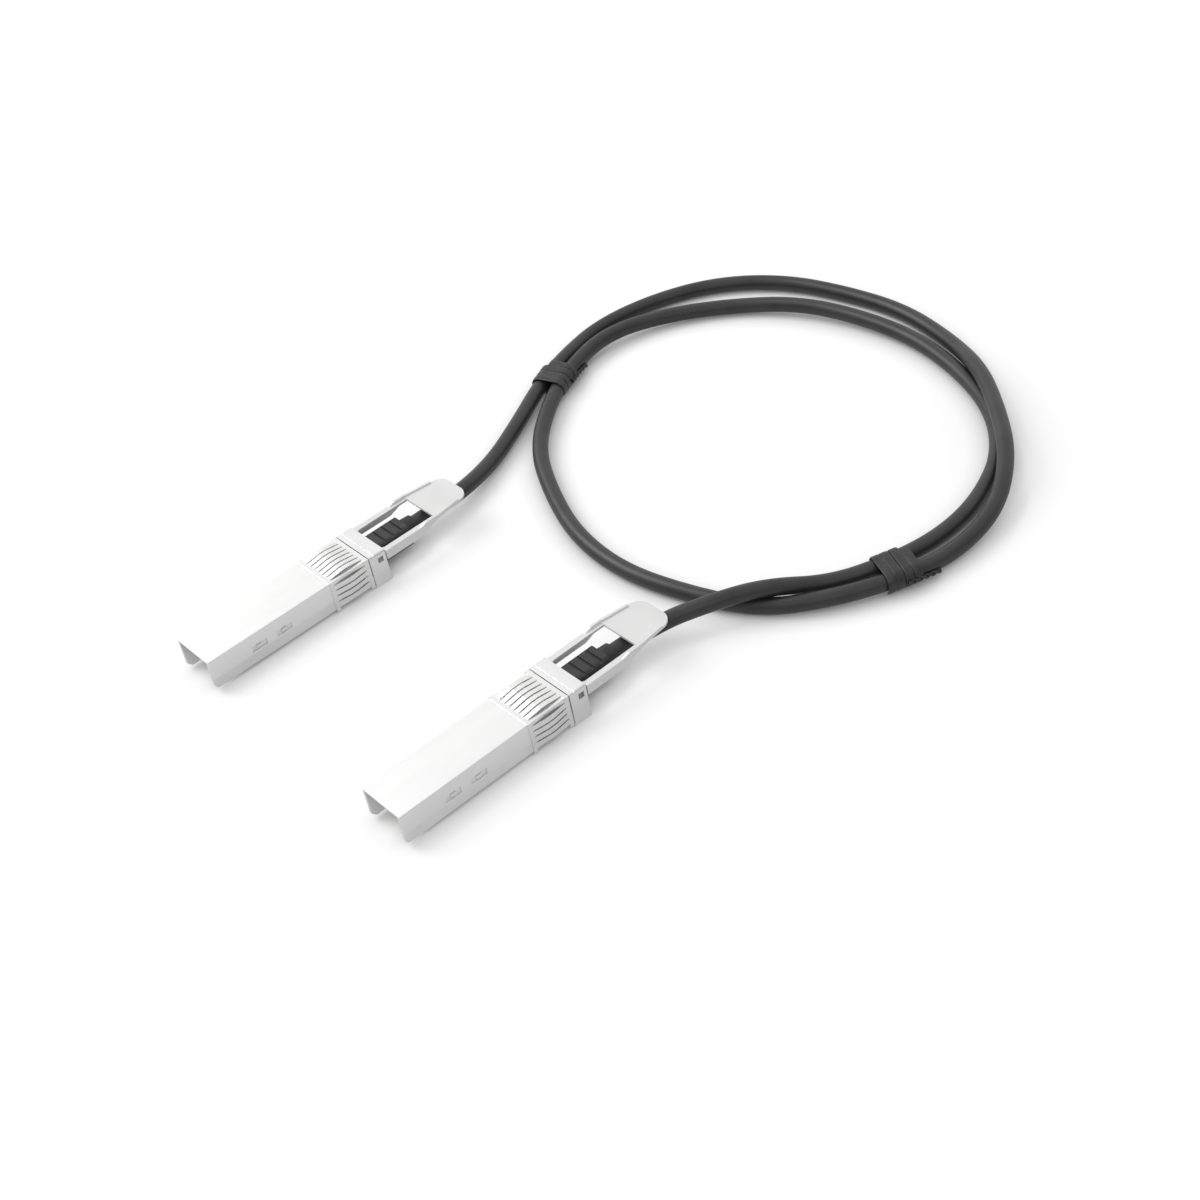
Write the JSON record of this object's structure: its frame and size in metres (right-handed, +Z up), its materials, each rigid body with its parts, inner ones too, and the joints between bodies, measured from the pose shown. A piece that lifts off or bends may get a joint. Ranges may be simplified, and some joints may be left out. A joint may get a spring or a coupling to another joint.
{
  "type": "direct attach copper cable",
  "caption": "Copper network cable with a pluggable metal plug on each end, laid in a loose tied loop; a sprung frame on each plug releases its latch.",
  "frame": {"origin": "on the surface that the plugs stand on, below the middle of the box round the two plugs", "axes": "+X from plug a to plug b, +Y from the plugs' noses towards the cable, +Z up"},
  "size_m": [0.1461, 0.2104, 0.0097],
  "materials": {
    "cast_metal": "satin nickel over a die casting",
    "cover_metal": "satin",
    "spring_metal": "satin",
    "frame_metal": "satin",
    "ferrule": "satin tin plate",
    "spring_wire": "bright",
    "card": "semi-gloss solder mask",
    "gold": "bright",
    "chip": "matt",
    "foil": "bright foil",
    "wire": "silver plate",
    "braid": "tinned braid",
    "boot": "matt",
    "jacket": "matt",
    "tie": "matt"
  },
  "bodies": {
    "plugs_and_cable": {"housing_base_a": "cast_metal", "housing_cover_a": "cover_metal", "shield_collar_a": "spring_metal", "paddle_card_a": "card", "contact_pads_a": "gold", "card_chips_a": "chip", "shielded_pairs_a": "foil", "pair_conductors_a": "wire", "cable_braid_a": "braid", "crimp_ferrule_a": "ferrule", "strain_relief_a": "boot", "return_springs_a": "spring_wire", "housing_base_b": "cast_metal", "housing_cover_b": "cover_metal", "shield_collar_b": "spring_metal", "paddle_card_b": "card", "contact_pads_b": "gold", "card_chips_b": "chip", "shielded_pairs_b": "foil", "pair_conductors_b": "wire", "cable_braid_b": "braid", "crimp_ferrule_b": "ferrule", "strain_relief_b": "boot", "return_springs_b": "spring_wire", "cable_jacket": "jacket", "tie_left": "tie", "tie_right": "tie"},
    "release_a": {"release_frame_a": "frame_metal", "latch_slide_a": "frame_metal"},
    "release_b": {"release_frame_b": "frame_metal", "latch_slide_b": "frame_metal"}
  },
  "joints": [
    {"name": "release_pull_a", "type": "slide", "parent": "plugs_and_cable", "child": "release_a", "axis": [0, 1, 0], "range_m": [0, 0.0025], "stiffness_N_per_m": 1200, "springref_m": -0.001, "deforming": ["return_springs_a"]},
    {"name": "release_pull_b", "type": "slide", "parent": "plugs_and_cable", "child": "release_b", "axis": [0, 1, 0], "range_m": [0, 0.0025], "stiffness_N_per_m": 1200, "springref_m": -0.001, "deforming": ["return_springs_b"]}
  ]
}
